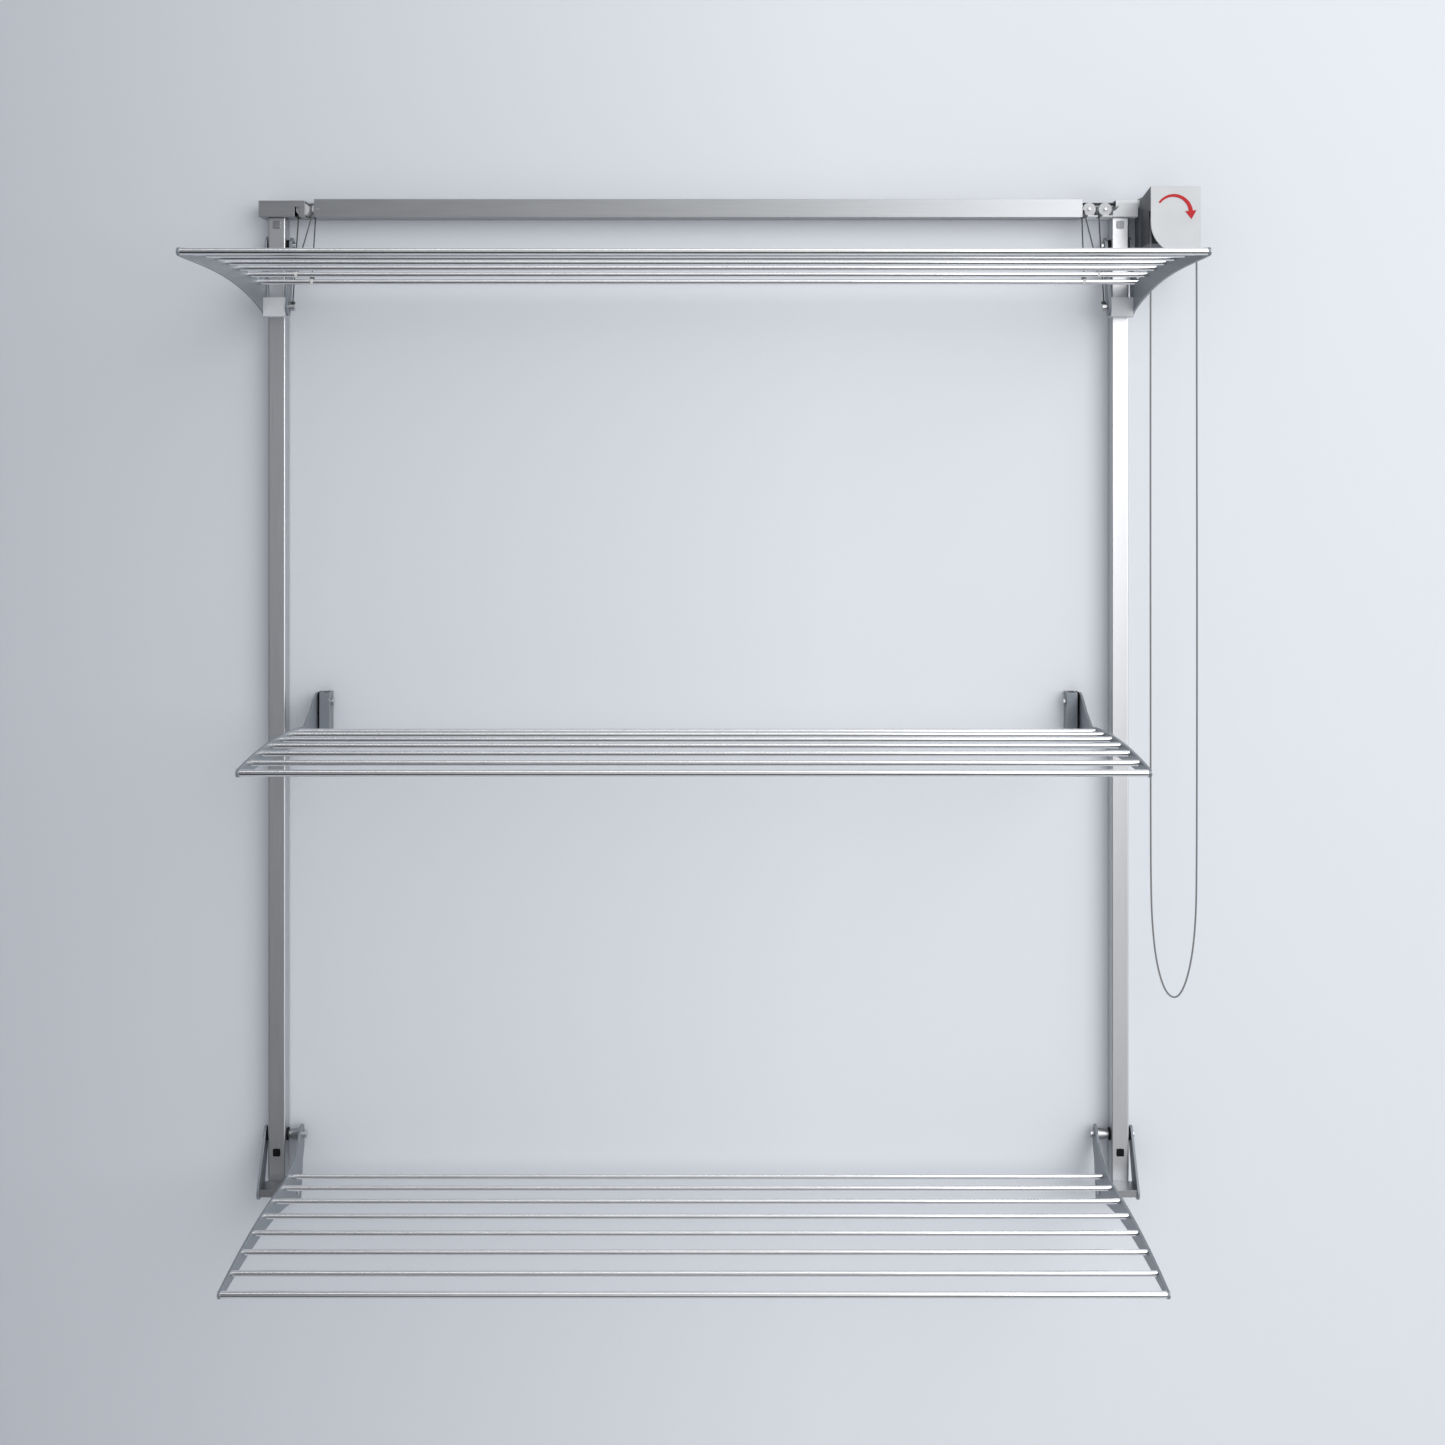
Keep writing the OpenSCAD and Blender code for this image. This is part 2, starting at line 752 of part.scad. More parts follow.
// wheel with pockets that grip the pull cord, and the sleeve that carries the pinion
module cord_wheel() {
    pockets = 24;
    centre_d = wheel_d0 + wheel_w / 2;
    color(dark) difference() {
        union() {
            bar_y(wheel_x, wheel_z, wheel_d0, wheel_d0 + wheel_w, 2 * wheel_r + 2);
            bar_y(wheel_x, wheel_z, sleeve_d0, wheel_d0, 10.4);
        }
        place(wheel_x, centre_d, wheel_z) rotate([90, 0, 0]) rotate_extrude() {
            polygon([[wheel_r - 1.6, -1.2], [wheel_r + 2, -3.2], [wheel_r + 2, 3.2],
                     [wheel_r - 1.6, 1.2]]);
        }
        for (i = [0 : pockets - 1]) {
            place(wheel_x, centre_d, wheel_z) rotate([0, i * 360 / pockets, 0])
                translate([wheel_r - 1, 0, 0]) rotate([90, 0, 0])
                    cylinder(h = wheel_w - 3, d = 2.4, center = true, $fn = 16);
        }
        bar_y(wheel_x, wheel_z, gear_d0 - 1, wheel_d0 + wheel_w + 1, axle_bore_wheel);
    }
}

// stepped drum that the lift cords wind onto, with the shaft that carries the gear
module spool() {
    color(nylon) {
        bar_y(spool_x, spool_z, 8, 9.5, flange_d);
        bar_y(spool_x, spool_z, 9.5, 15.5, 2 * spool_rear_r);
        bar_y(spool_x, spool_z, 15.5, 22.3, 2 * spool_arm_r);
        bar_y(spool_x, spool_z, 22.3, 28.5, 2 * spool_front_r);
        bar_y(spool_x, spool_z, 28.5, 30, flange_d);
        bar_y(spool_x, spool_z, 0.8, gear_d0 + gear_w + 2, shaft_d);
    }
}

// wrap spring on the wheel's sleeve that locks the wheel while nobody pulls
module brake_spring() {
    turns = 4;
    color(aluminium) for (i = [0 : turns - 1]) {
        place(wheel_x, sleeve_d0 + 0.7 + i * 0.85, wheel_z) rotate([90, 0, 0]) rotate_extrude()
            translate([6.1, 0]) circle(d = 0.8, $fn = 16);
    }
}

// ---------- pull cord ----------

function frame_step(points, i) = points[min(i + 1, len(points) - 1)] - points[max(i - 1, 0)];
function unit(v) = v / norm(v);

// point on a smooth curve through four route points
function smooth(p0, p1, p2, p3, t) =
    0.5 * (2 * p1 + (p2 - p0) * t + (2 * p0 - 5 * p1 + 4 * p2 - p3) * t * t
           + (3 * p1 - p0 - 3 * p2 + p3) * t * t * t);

function smooth_route(points, n) = [
    for (i = [0 : len(points) - 2], k = [0 : n - 1])
        smooth(points[max(i - 1, 0)], points[i], points[i + 1],
               points[min(i + 2, len(points) - 1)], k / n),
    points[len(points) - 1]
];

// closed tube swept along points that stay in a plane of constant y
module cord_sweep(points, diameter, sides) {
    n = len(points);
    rings = [for (i = [0 : n - 1])
             let (along = unit(frame_step(points, i)), across = unit(cross([0, 1, 0], along)),
                  up = cross(along, across))
             for (k = [0 : sides - 1])
                 points[i] + diameter / 2 * (cos(360 * k / sides) * across
                                             + sin(360 * k / sides) * up)];
    faces = [for (i = [0 : n - 2], k = [0 : sides - 1])
             let (a = i * sides + k, b = i * sides + (k + 1) % sides)
             [a, b, b + sides, a + sides]];
    ends = [[for (k = [sides - 1 : -1 : 0]) k],
            [for (k = [0 : sides - 1]) (n - 1) * sides + k]];
    polyhedron(rings, concat(faces, ends), convexity = 6);
}

// the part of the pull cord that lies over the wheel
module cord_wrap() {
    color(nylon) place(wheel_x, wheel_d0 + wheel_w / 2, wheel_z) rotate([90, 0, 0])
        rotate_extrude(angle = 180) translate([wheel_r, 0]) circle(d = pull_cord_d, $fn = 16);
}

module pull_cord() {
    points = [for (p = pull_route) [p[0], -p[1], p[2]]];
    color(nylon) cord_sweep(smooth_route(points, cord_rings), pull_cord_d, 8);
}

// ---------- shelves ----------

module rods(span, base_z, first) {
    for (i = [first : rod_places - 1]) {
        bar_x(-span / 2 - plate_t, span / 2 + plate_t, rod_place(i), base_z + rise(rod_place(i)),
              rod_d);
    }
}

module front_bar(span, base_z) {
    bar_x(-span / 2 - plate_t, span / 2 + plate_t, reach, base_z, bar_d);
}

// side plate outline as distance from the wall and height. The rear part is a list of
// points from the upper edge round to the lower edge, the rest follows the rods' arch.
module plate_outline(base_z, upper_start, lower_start, droop, drop, rear) {
    steps = 14;
    upper = [for (i = [0 : steps]) let (d = upper_start + (reach - upper_start) * i / steps)
             [d, base_z + rise(d) + above_rod]];
    lower = [for (i = [steps : -1 : 0]) let (d = lower_start + (reach - lower_start) * i / steps)
             [d, base_z - min(droop, nose_r + (reach - d) / 12)
                 - drop * pow(max(0, taper_end - d) / taper_l, 3)]];
    polygon(concat(upper, lower, [for (p = rear) [p[0], base_z + p[1]]]));
    translate([reach, base_z]) circle(r = nose_r);
}

module rod_holes(base_z, first) {
    for (i = [first : rod_places - 1]) {
        bar_x(0, 600, rod_place(i), base_z + rise(rod_place(i)), rod_d);
    }
    bar_x(0, 600, reach, base_z, bar_d);
}

// ---------- top shelf ----------

module top_side_plate() {
    difference() {
        side_sheet(top_span / 2, top_span / 2 + plate_t)
            plate_outline(top_z, 60, 42, 4.5, 31, top_rear);
        rod_holes(top_z, 0);
        bar_x(0, 600, pivot_d, top_pivot_z, pin_d);
        bar_x(0, 600, block_bolt_d, block_bolt_z, 5);
    }
}

module top_side_plate_left() {
    color(sheet_grey) mirror([1, 0, 0]) top_side_plate();
}

module top_side_plate_right() {
    color(sheet_grey) top_side_plate();
}

// inner arm of the yoke, from the pivot to the crossbar
module top_arm() {
    difference() {
        side_sheet(arm_in, arm_in + arm_t) {
            hull() {
                translate([pivot_d, top_pivot_z]) circle(r = 10);
                translate([pivot_d + 4, top_pivot_z - 20]) circle(r = 6);
            }
            hull() {
                translate([pivot_d + 4, top_pivot_z - 20]) circle(r = 6);
                translate([block_bolt_d + 1, block_bolt_z]) circle(r = 10);
            }
        }
        bar_x(0, 600, pivot_d, top_pivot_z, pin_d);
        bar_x(0, 600, block_bolt_d, block_bolt_z, 5);
    }
}

module top_arm_left() {
    color(sheet_grey) mirror([1, 0, 0]) top_arm();
}

module top_arm_right() {
    color(sheet_grey) top_arm();
}

// blocks in front of the posts that stop the shelf in its open position
module top_crossbars() {
    color(white_plastic) both_sides() difference() {
        block(arm_in + arm_t, top_span / 2, block_d0, block_d1, block_z0, block_z1);
        bar_x(0, 600, block_bolt_d, block_bolt_z, 5);
    }
}

module top_pivot_pins() {
    color(aluminium) both_sides() {
        bar_x(arm_in, top_span / 2 + plate_t, pivot_d, top_pivot_z, pin_d);
        bar_x(arm_in - 3, arm_in, pivot_d, top_pivot_z, 10);
        bar_x(top_span / 2 + plate_t, top_span / 2 + plate_t + 2, pivot_d, top_pivot_z, 9);
    }
}

module top_bolts() {
    color(aluminium) both_sides() {
        bar_x(arm_in, top_span / 2 + plate_t, block_bolt_d, block_bolt_z, 5);
        bar_x(arm_in - 6, arm_in, block_bolt_d, block_bolt_z, 8.5);
        bar_x(top_span / 2 + plate_t, top_span / 2 + plate_t + 2, block_bolt_d, block_bolt_z, 8);
    }
}

module top_rods() {
    color(aluminium) rods(top_span, top_z, 0);
}

module top_front_bar() {
    color(aluminium) front_bar(top_span, top_z);
}

// ---------- middle shelf ----------

module middle_side_plate() {
    difference() {
        side_sheet(middle_span / 2, middle_span / 2 + plate_t)
            plate_outline(middle_z, 92, 60, 6, 8, middle_rear);
        rod_holes(middle_z, 1);
        bar_x(0, 600, pivot_d, middle_pivot_z, pin_d);
    }
}

module middle_side_plate_left() {
    color(sheet_grey) mirror([1, 0, 0]) middle_side_plate();
}

module middle_side_plate_right() {
    color(sheet_grey) middle_side_plate();
}

module middle_pivot_pins() {
    color(aluminium) both_sides() {
        bar_x(bracket_in - 1.2, middle_span / 2 + plate_t, pivot_d, middle_pivot_z, pin_d);
        bar_x(bracket_in - 3, bracket_in - 0.4, pivot_d, middle_pivot_z, 9);
        bar_x(middle_span / 2 + plate_t, middle_span / 2 + plate_t + 2, pivot_d, middle_pivot_z,
              9);
    }
}

module middle_rods() {
    color(aluminium) rods(middle_span, middle_z, 1);
}

module middle_front_bar() {
    color(aluminium) front_bar(middle_span, middle_z);
}

// ---------- bottom shelf ----------

module bottom_side_plate() {
    difference() {
        side_sheet(bottom_span / 2, bottom_span / 2 + plate_t)
            plate_outline(bottom_z, 110, 30, 5, 38, bottom_rear);
        rod_holes(bottom_z, 0);
        bar_x(0, 600, pivot_d, bottom_pivot_z, pin_d);
        bar_x(0, 600, bar_d0 + 8, bar_z0 + bar_t / 2, 4);
        bar_x(0, 600, bar_d1 - 8, bar_z0 + bar_t / 2, 4);
    }
}

module bottom_side_plate_left() {
    color(sheet_grey) mirror([1, 0, 0]) bottom_side_plate();
}

module bottom_side_plate_right() {
    color(sheet_grey) bottom_side_plate();
}

// outer arm of the yoke, from the pivot to the crossbar
module bottom_outer_arm() {
    difference() {
        side_sheet(outer_arm_x, outer_arm_x + plate_t) {
            hull() {
                translate([pivot_d, bottom_pivot_z + 3]) circle(r = 7);
                translate([pivot_d, bottom_pivot_z]) circle(r = 9);
                translate([36, bar_z0 + 6]) circle(r = 9);
                translate([52, bar_z0 + 4]) circle(r = 8);
            }
        }
        bar_x(0, 600, pivot_d, bottom_pivot_z, pin_d);
        bar_x(0, 600, bar_d0 + 8, bar_z0 + bar_t / 2, 4);
        bar_x(0, 600, bar_d1 - 8, bar_z0 + bar_t / 2, 4);
    }
}

module bottom_outer_arm_left() {
    color(sheet_grey) mirror([1, 0, 0]) bottom_outer_arm();
}

module bottom_outer_arm_right() {
    color(sheet_grey) bottom_outer_arm();
}

module bottom_crossbars() {
    color(aluminium) both_sides() difference() {
        block(bottom_span / 2 + plate_t, outer_arm_x, bar_d0, bar_d1, bar_z0, bar_z0 + bar_t);
        bar_x(0, 600, bar_d0 + 8, bar_z0 + bar_t / 2, 4);
        bar_x(0, 600, bar_d1 - 8, bar_z0 + bar_t / 2, 4);
    }
}

module bottom_pivot_pins() {
    color(aluminium) both_sides() {
        bar_x(bottom_span / 2, outer_arm_x + plate_t, pivot_d, bottom_pivot_z, pin_d);
        bar_x(bottom_span / 2 - 4, bottom_span / 2, pivot_d, bottom_pivot_z, 9);
        bar_x(outer_arm_x + plate_t, outer_arm_x + plate_t + 2, pivot_d, bottom_pivot_z, 9);
    }
}

// tapered sleeves between the side plates and the posts
module bottom_spacers() {
    x0 = bottom_span / 2 + plate_t;
    x1 = post_in - 1.8;
    color(aluminium) both_sides() difference() {
        place(x0, pivot_d, bottom_pivot_z) rotate([0, 90, 0])
            cylinder(h = x1 - x0, d1 = 15, d2 = 10);
        bar_x(0, 600, pivot_d, bottom_pivot_z, pin_d);
    }
}

module bottom_bolts() {
    x0 = bottom_span / 2;
    x1 = outer_arm_x + plate_t;
    color(aluminium) both_sides() for (d = [bar_d0 + 8, bar_d1 - 8]) {
        bar_x(x0, x1, d, bar_z0 + bar_t / 2, 4);
        bar_x(x0 - 2, x0, d, bar_z0 + bar_t / 2, 7);
        bar_x(x1, x1 + 1.5, d, bar_z0 + bar_t / 2, 7);
    }
}

module bottom_rods() {
    color(aluminium) rods(bottom_span, bottom_z, 0);
}

module bottom_front_bar() {
    color(aluminium) front_bar(bottom_span, bottom_z);
}

// ---------- nodes ----------

post_left();
post_right();
top_beam();
beam_tongues();
end_housing_left();
end_housing_right();
post_end_caps();
screw_caps();
upper_screw_caps();
pivot_bushes();
wall_bracket_left();
wall_bracket_right();
bracket_covers();
friction_pads();
pulley_axles();
cord_tube();
winder_base();
winder_case();
winder_cover();
turn_arrow();
cover_screws();
wheel_axle();
brake_spring();
pull_cord();
cord_wrap();
cord_runs();
pulley_left_inner();
pulley_left_outer();
pulley_right_inner();
pulley_right_outer();
cord_wheel();
pinion();
spool();
spool_gear();
top_rods();
top_front_bar();
top_side_plate_left();
top_side_plate_right();
top_arm_left();
top_arm_right();
top_crossbars();
top_pivot_pins();
top_bolts();
cord_lugs();
lift_cords();
middle_rods();
middle_front_bar();
middle_side_plate_left();
middle_side_plate_right();
middle_pivot_pins();
bottom_rods();
bottom_front_bar();
bottom_side_plate_left();
bottom_side_plate_right();
bottom_outer_arm_left();
bottom_outer_arm_right();
bottom_crossbars();
bottom_pivot_pins();
bottom_spacers();
bottom_bolts();
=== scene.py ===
import json
import math

import bmesh
import bpy
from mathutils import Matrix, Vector


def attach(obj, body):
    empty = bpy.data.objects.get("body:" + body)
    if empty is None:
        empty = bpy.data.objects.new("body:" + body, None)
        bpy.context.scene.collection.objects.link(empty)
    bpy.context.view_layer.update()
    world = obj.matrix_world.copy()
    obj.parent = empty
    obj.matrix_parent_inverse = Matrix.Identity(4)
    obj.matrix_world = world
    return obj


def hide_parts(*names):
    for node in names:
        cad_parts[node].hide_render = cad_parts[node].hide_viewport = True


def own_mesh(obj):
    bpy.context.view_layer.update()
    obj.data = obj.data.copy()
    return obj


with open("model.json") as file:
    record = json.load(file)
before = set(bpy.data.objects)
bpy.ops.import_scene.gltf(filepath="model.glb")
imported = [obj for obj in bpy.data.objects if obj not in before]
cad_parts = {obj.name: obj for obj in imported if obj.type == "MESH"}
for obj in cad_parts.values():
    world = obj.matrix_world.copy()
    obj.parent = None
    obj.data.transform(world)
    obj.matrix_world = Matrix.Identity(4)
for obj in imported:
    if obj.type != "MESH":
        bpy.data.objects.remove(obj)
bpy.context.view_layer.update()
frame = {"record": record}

# ---------- camera ----------

camera_data = bpy.data.cameras.new("camera")
camera = bpy.data.objects.new("camera", camera_data)
bpy.context.collection.objects.link(camera)
camera.location = (0.028, -2.45, 0.260)
camera.rotation_euler = (math.radians(90), 0, 0)
camera_data.sensor_width = 36
camera_data.lens = 51.9
camera_data.shift_y = -0.178
camera_data.clip_end = 100
bpy.context.scene.camera = camera


# ---------- mesh helpers ----------

def add_mesh(name, vertices, faces, smooth=True):
    """A mesh object from points in metres and faces."""
    mesh = bpy.data.meshes.new(name)
    mesh.from_pydata([tuple(v) for v in vertices], [], faces)
    mesh.polygons.foreach_set("use_smooth", [smooth] * len(mesh.polygons))
    mesh.update()
    obj = bpy.data.objects.new(name, mesh)
    bpy.context.collection.objects.link(obj)
    return obj


def finish_mesh(obj, sharp_angle=35):
    """Outward normals, and sharp edges where the surface turns."""
    bm = bmesh.new()
    bm.from_mesh(obj.data)
    bmesh.ops.remove_doubles(bm, verts=bm.verts, dist=1e-7)
    bmesh.ops.recalc_face_normals(bm, faces=bm.faces)
    for edge in bm.edges:
        edge.smooth = edge.calc_face_angle(0) < math.radians(sharp_angle)
    bm.to_mesh(obj.data)
    bm.free()
    return obj


def smooth_route(points, count):
    """Points on a smooth curve through the route points, count to each stretch."""
    points = [Vector(p) for p in points]
    out = []
    for i in range(len(points) - 1):
        before = points[max(i - 1, 0)]
        start = points[i]
        end = points[i + 1]
        after = points[min(i + 2, len(points) - 1)]
        for k in range(count):
            t = k / count
            out.append(0.5 * (2 * start + (end - before) * t
                              + (2 * before - 5 * start + 4 * end - after) * t * t
                              + (3 * start - before - 3 * end + after) * t ** 3))
    out.append(points[-1])
    return out


def tube(name, path, radius, sides=12):
    """A closed round tube along a path, with U round it and V along it in metres."""
    path = [Vector(p) for p in path]
    tangents = []
    for i in range(len(path)):
        step = path[min(i + 1, len(path) - 1)] - path[max(i - 1, 0)]
        tangents.append(step.normalized())
    across = tangents[0].orthogonal().normalized()
    vertices = []
    lengths = [0.0]
    for i, point in enumerate(path):
        if i:
            across = (across - across.dot(tangents[i]) * tangents[i]).normalized()
            lengths.append(lengths[-1] + (point - path[i - 1]).length)
        up = tangents[i].cross(across)
        for k in range(sides):
            a = 2 * math.pi * k / sides
            vertices.append(point + radius * (math.cos(a) * across + math.sin(a) * up))
    faces = []
    for i in range(len(path) - 1):
        for k in range(sides):
            a = i * sides + k
            b = i * sides + (k + 1) % sides
            faces.append((a, b, b + sides, a + sides))
    last = (len(path) - 1) * sides
    faces.append(tuple(reversed(range(sides))))
    faces.append(tuple(last + k for k in range(sides)))
    obj = add_mesh(name, vertices, faces)
    layer = obj.data.uv_layers.new(name="UVMap")
    for polygon in obj.data.polygons:
        if polygon.loop_total != 4:
            continue
        ring = polygon.index // sides
        side = polygon.index % sides
        corners = ((side, ring), (side + 1, ring), (side + 1, ring + 1), (side, ring + 1))
        for loop, (u, v) in zip(polygon.loop_indices, corners):
            layer.data[loop].uv = (u / sides, lengths[v])
    return obj


def lathe(name, profile, place, axis, sides=40):
    """Turns (radius, height) points about an axis through a place."""
    turn = Vector(axis).to_track_quat("Z", "Y").to_matrix()
    place = Vector(place)
    vertices = []
    for radius, height in profile:
        for k in range(sides):
            a = 2 * math.pi * k / sides
            local = Vector((radius * math.cos(a), radius * math.sin(a), height))
            vertices.append(place + turn @ local)
    faces = []
    for i in range(len(profile) - 1):
        for k in range(sides):
            a = i * sides + k
            b = i * sides + (k + 1) % sides
            faces.append((a, b, b + sides, a + sides))
    last = (len(profile) - 1) * sides
    faces.append(tuple(reversed(range(sides))))
    faces.append(tuple(last + k for k in range(sides)))
    return finish_mesh(add_mesh(name, vertices, faces))


def join(name, objects):
    """One object from several that share a material."""
    bm = bmesh.new()
    for obj in objects:
        mesh = obj.data.copy()
        mesh.transform(obj.matrix_world)
        bm.from_mesh(mesh)
        bpy.data.meshes.remove(mesh)
        old = obj.data
        bpy.data.objects.remove(obj)
        bpy.data.meshes.remove(old)
    mesh = bpy.data.meshes.new(name)
    bm.to_mesh(mesh)
    bm.free()
    obj = bpy.data.objects.new(name, mesh)
    bpy.context.collection.objects.link(obj)
    return obj


# ---------- pull cord ----------

PULL_CORD_D = 0.002
PULL_ROUTE = [
    (0.5655, -0.0875, 0.535), (0.5656, -0.088, 0.450), (0.5658, -0.088, 0.300),
    (0.566, -0.088, 0.150), (0.566, -0.088, 0), (0.5658, -0.088, -0.120),
    (0.5655, -0.088, -0.200), (0.5645, -0.088, -0.250), (0.561, -0.088, -0.290),
    (0.555, -0.088, -0.320), (0.5475, -0.088, -0.338), (0.5395, -0.088, -0.343),
    (0.531, -0.088, -0.336), (0.524, -0.088, -0.318), (0.5185, -0.088, -0.290),
    (0.515, -0.088, -0.250), (0.5138, -0.088, -0.200), (0.5135, -0.088, -0.120),
    (0.5134, -0.088, 0), (0.5133, -0.088, 0.150), (0.5133, -0.088, 0.300),
    (0.5134, -0.088, 0.450), (0.5135, -0.0875, 0.535),
]

pull_path = smooth_route(PULL_ROUTE, 8)
pull_cord = tube("pull_cord_loop", pull_path, PULL_CORD_D / 2, 16)
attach(pull_cord, "wall_frame")
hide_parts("pull_cord")

# ---------- lift cords ----------

LIFT_CORD_D = 0.0015
PULLEY_Z = 0.5577
RIGHT_SHIFT = 0.003     # the right cords leave their pulleys this much further from the wall

# shelves: the rods' first place, their spacing and the front bar, as distance from the wall
REAR_ROD = 0.075
ROD_PITCH = 0.049
REACH = 0.413
RISE = 0.008            # of the rods' shallow arch
TOP_Z = 0.469
SHELF_PITCH = 0.510


def arch(distance):
    """Height of the rods' arch over the shelf's ends, at a distance from the wall."""
    middle = (REAR_ROD + REACH) / 2
    half = (REACH - REAR_ROD) / 2
    return RISE * (1 - ((distance - middle) / half) ** 2)


def rod_lug(x, rod):
    """Eye of the clip on one of the top shelf's rods, on the right."""
    distance = REAR_ROD + ROD_PITCH * rod
    eye_over_rod = 0.005
    return (x, -distance, TOP_Z + arch(distance) + eye_over_rod)


# each cord's place on its pulley as x and y, and its lug, on the right side
LIFT_CORDS = {
    "front": ((0.448, -0.024), rod_lug(0.448, 1)),
    "rear": ((0.448, -0.011), rod_lug(0.440, 0)),
    "arm": ((0.4665, -0.0175), (0.470, -0.0355, 0.4483)),
}


def strand(name, start, lug):
    """A taut cord from its pulley to its lug. It rides with the shelf."""
    start, lug = Vector(start), Vector(lug)
    path = [start.lerp(lug, i / 24) for i in range(25)]
    obj = tube(name, path, LIFT_CORD_D / 2, 12)
    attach(obj, "top_shelf")
    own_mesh(obj)
    return obj


strands = []
for side, sign, shift in (("left", -1, 0.0), ("right", 1, RIGHT_SHIFT)):
    for cord_name, ((x, y), lug) in LIFT_CORDS.items():
        piece = strand(f"lift_cord_{cord_name}_{side}", (sign * x, y - shift, PULLEY_Z),
                       (sign * lug[0], lug[1], lug[2]))
        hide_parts("lift_cords")
        strands.append(piece)


# ---------- rivets, and knots in the lift cords ----------

PLATE_T = 0.0025
ROD_PLACES = 7
RIVET_SIDES = 24
RIVET = [(0.0034, 0), (0.0034, 0.0003), (0.0031, 0.0007), (0.0023, 0.0010), (0.0010, 0.0012)]
FRONT_RIVET = [(1.15 * radius, height) for radius, height in RIVET]
# half the width between the side plates, height, and place of the first rod
SHELVES = {
    "top_shelf": (0.5025, TOP_Z, 0),
    "middle_shelf": (0.4445, TOP_Z - SHELF_PITCH, 1),
    "bottom_shelf": (0.4625, TOP_Z - 2 * SHELF_PITCH, 0),
}


def rivets(shelf, half_span, base_z, first_rod):
    """The closed ends of the rods and the front bar, outside the side plates."""
    heads = []
    distances = [REAR_ROD + ROD_PITCH * i for i in range(first_rod, ROD_PLACES)]
    distances.append(REACH)
    for distance in distances:
        profile = FRONT_RIVET if distance == REACH else RIVET
        for sign in (-1, 1):
            place = (sign * (half_span + PLATE_T), -distance, base_z + arch(distance))
            heads.append(lathe("head", profile, place, (sign, 0, 0), RIVET_SIDES))
    obj = join(f"{shelf}_rivets", heads)
    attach(obj, shelf)
    return obj


shelf_rivets = [rivets(shelf, *values) for shelf, values in SHELVES.items()]


def knot(name, place):
    """A small closed knot round the eye of a lug."""
    place = Vector(place)
    size = 0.0009
    loop = 1.6
    depth = 1.2
    steps = 48
    path = []
    for i in range(steps + 1):
        a = 2 * math.pi * i / steps
        path.append(place + size * Vector((math.sin(a) + loop * math.sin(2 * a),
                                           math.cos(a) - loop * math.cos(2 * a),
                                           -depth * math.sin(3 * a))))
    return tube(name, path, LIFT_CORD_D / 2, 10)


knots = [knot("knot", (sign * lug[0], lug[1], lug[2]))
         for sign in (-1, 1) for _, lug in LIFT_CORDS.values()]
cord_knots = join("cord_knots", knots)
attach(cord_knots, "top_shelf")


# ---------- materials ----------

def new_material(name):
    material = bpy.data.materials.new(name)
    material.use_nodes = True
    return material, material.node_tree, material.node_tree.nodes["Principled BSDF"]


def object_noise(tree, stretch, scale=1.0, detail=4.0):
    """Noise in the object's own coordinates, finer along an axis with a larger stretch."""
    coords = tree.nodes.new("ShaderNodeTexCoord")
    mapping = tree.nodes.new("ShaderNodeMapping")
    mapping.inputs["Scale"].default_value = stretch
    noise = tree.nodes.new("ShaderNodeTexNoise")
    noise.inputs["Scale"].default_value = scale
    noise.inputs["Detail"].default_value = detail
    tree.links.new(coords.outputs["Object"], mapping.inputs["Vector"])
    tree.links.new(mapping.outputs["Vector"], noise.inputs["Vector"])
    return noise.outputs["Fac"]


def ranged(tree, value, low, high, start=0.3, end=0.7):
    """A value stretched from start..end to low..high."""
    node = tree.nodes.new("ShaderNodeMapRange")
    node.inputs["From Min"].default_value = start
    node.inputs["From Max"].default_value = end
    node.inputs["To Min"].default_value = low
    node.inputs["To Max"].default_value = high
    tree.links.new(value, node.inputs["Value"])
    return node.outputs["Result"]


def mixed(tree, factor, first, second):
    """A colour between two colours or sockets."""
    node = tree.nodes.new("ShaderNodeMix")
    node.data_type = "RGBA"
    tree.links.new(factor, node.inputs["Factor"])
    colour_inputs = [s for s in node.inputs if s.type == "RGBA"]
    for socket, colour in zip(colour_inputs, (first, second)):
        if isinstance(colour, bpy.types.NodeSocket):
            tree.links.new(colour, socket)
        else:
            socket.default_value = (*colour, 1)
    return next(s for s in node.outputs if s.type == "RGBA")


def rounded_normal(tree, radius):
    """A normal that rounds the sharp edges, as the real part's broken edges do."""
    bevel = tree.nodes.new("ShaderNodeBevel")
    bevel.samples = 4
    bevel.inputs["Radius"].default_value = radius
    return bevel.outputs["Normal"]


def edge_mask(tree, radius):
    """1 on outer edges and 0 on faces."""
    geometry = tree.nodes.new("ShaderNodeNewGeometry")
    dot = tree.nodes.new("ShaderNodeVectorMath")
    dot.operation = "DOT_PRODUCT"
    tree.links.new(rounded_normal(tree, radius), dot.inputs[0])
    tree.links.new(geometry.outputs["Normal"], dot.inputs[1])
    return ranged(tree, dot.outputs["Value"], 1, 0, 0.90, 0.995)


def add_bump(tree, shader, height, strength, distance, radius=0.0):
    """Bump on the shader, over rounded edges where radius isn't 0."""
    bump = tree.nodes.new("ShaderNodeBump")
    bump.inputs["Strength"].default_value = strength
    bump.inputs["Distance"].default_value = distance
    tree.links.new(height, bump.inputs["Height"])
    if radius:
        tree.links.new(rounded_normal(tree, radius), bump.inputs["Normal"])
    tree.links.new(bump.outputs["Normal"], shader.inputs["Normal"])


